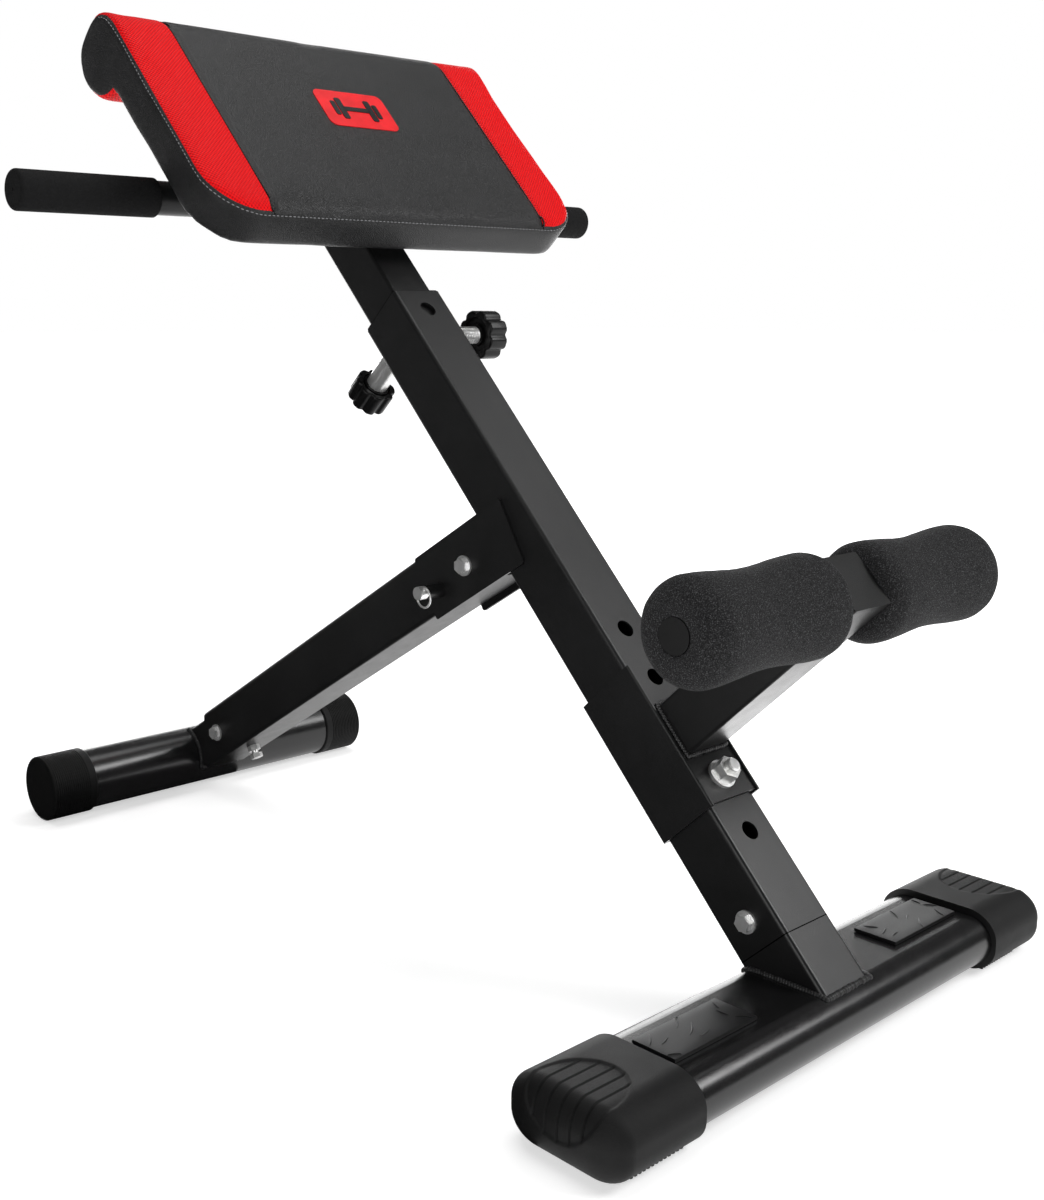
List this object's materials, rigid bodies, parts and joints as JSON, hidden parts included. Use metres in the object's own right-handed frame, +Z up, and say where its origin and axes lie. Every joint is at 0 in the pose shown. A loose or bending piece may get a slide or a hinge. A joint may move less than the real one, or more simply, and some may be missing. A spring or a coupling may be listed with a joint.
{
  "type": "hyperextension bench",
  "caption": "Free-standing back extension bench with a thigh pad on a sliding post, foam ankle rollers on a sliding carriage, hand grips and a folding rear strut.",
  "frame": {"origin": "on the floor under the middle of the bench, halfway between the front and rear feet", "axes": "+X to the bench's right seen from the foot end, +Y from the foot end to the rear foot, +Z up"},
  "size_m": [0.7236, 1.006, 0.8657],
  "materials": {
    "powder_coat": "satin powder coat",
    "gloss_coat": "semi-gloss paint",
    "foot_rubber": "matte moulded rubber",
    "black_plastic": "moulded plastic",
    "zinc_plate": "zinc plated",
    "chrome": "polished",
    "foam": "closed-cell foam",
    "board": "board under black cloth",
    "black_vinyl": "grained synthetic leather",
    "red_mesh": "dotted fabric"
  },
  "bodies": {
    "frame": {"main_beam": "powder_coat", "guide_bush": "black_plastic", "front_socket": "powder_coat", "socket_spigot": "powder_coat", "front_base_tube": "gloss_coat", "front_cap_left": "foot_rubber", "front_cap_right": "foot_rubber", "tread_pad_left": "foot_rubber", "tread_pad_right": "foot_rubber", "socket_bolt": "zinc_plate", "pivot_bolt": "zinc_plate", "frame_nuts": "zinc_plate", "frame_washers": "zinc_plate", "strut_bracket_left": "powder_coat", "strut_bracket_right": "powder_coat", "lock_pin_barrel": "powder_coat", "pull_pin_barrel": "chrome", "knob_boss": "powder_coat", "lock_spring": "zinc_plate", "pull_spring": "zinc_plate"},
    "strut": {"rear_strut": "powder_coat", "spigot_liner": "black_plastic", "rear_spigot": "powder_coat", "rear_base_tube": "gloss_coat", "rear_cap_left": "foot_rubber", "rear_cap_right": "foot_rubber", "strut_pivot_tube": "zinc_plate", "strut_side_bolt": "zinc_plate", "strut_clamp_bolt": "zinc_plate", "strut_nuts": "zinc_plate", "strut_washers": "zinc_plate"},
    "post": {"upper_post": "powder_coat", "carrier_spigot": "powder_coat", "pad_carrier": "powder_coat", "handle_bar": "powder_coat", "grip_left": "foam", "grip_right": "foam", "bar_plugs": "black_plastic", "pad_rails": "powder_coat", "pad_board": "board", "pad_cushion": "black_vinyl", "pad_screws": "zinc_plate"},
    "roller_carriage": {"roller_sleeve": "powder_coat", "roller_plate": "powder_coat", "roller_arm": "powder_coat", "arm_plug": "black_plastic", "roller_axle": "zinc_plate", "axle_caps": "black_plastic", "roller_lock_nut": "zinc_plate"},
    "roller_left": {"foam_roller_left": "foam", "roller_liner_left": "black_plastic"},
    "roller_right": {"foam_roller_right": "foam", "roller_liner_right": "black_plastic"},
    "pull_pin": {"pull_pin": "chrome", "pull_knob": "black_plastic"},
    "strut_lock_pin": {"lock_pin": "chrome", "lock_ring": "chrome"},
    "roller_lock_bolt": {"roller_lock_bolt": "zinc_plate"},
    "tension_knob": {"tension_screw": "zinc_plate", "tension_knob": "black_plastic"}
  },
  "joints": [
    {"name": "post_slide", "type": "slide", "parent": "frame", "child": "post", "axis": [0, 0.6866, 0.7271], "range_m": [-0.052, 0.104]},
    {"name": "carriage_slide", "type": "slide", "parent": "frame", "child": "roller_carriage", "axis": [0, 0.6866, 0.7271], "range_m": [-0.052, 0.104]},
    {"name": "strut_fold", "type": "hinge", "parent": "frame", "child": "strut", "pos_m": [0, -0.06202, 0.34703], "axis": [-1, 0, 0], "range_deg": [0, 90]},
    {"name": "pull_pin_slide", "type": "slide", "parent": "frame", "child": "pull_pin", "axis": [0, 0.7271, -0.6866], "range_m": [0, 0.012], "stiffness_N_per_m": 1000, "springref_m": -0.004, "deforming": ["pull_spring"]},
    {"name": "strut_lock_pin_slide", "type": "slide", "parent": "frame", "child": "strut_lock_pin", "axis": [-1, 0, 0], "range_m": [0, 0.01], "stiffness_N_per_m": 800, "springref_m": -0.004, "deforming": ["lock_spring"]},
    {"name": "roller_lock_bolt_slide", "type": "slide", "parent": "roller_carriage", "child": "roller_lock_bolt", "axis": [0, -0.7271, 0.6866], "range_m": [0, 0.012]},
    {"name": "tension_knob_turn", "type": "hinge", "parent": "frame", "child": "tension_knob", "pos_m": [0, 0.04251, 0.56274], "axis": [1, 0, 0], "range_deg": [-720, 0]},
    {"name": "roller_left_spin", "type": "hinge", "parent": "roller_carriage", "child": "roller_left", "pos_m": [0, -0.45352, 0.36546], "axis": [1, 0, 0], "continuous": true},
    {"name": "roller_right_spin", "type": "hinge", "parent": "roller_carriage", "child": "roller_right", "pos_m": [0, -0.45352, 0.36546], "axis": [1, 0, 0], "continuous": true}
  ]
}
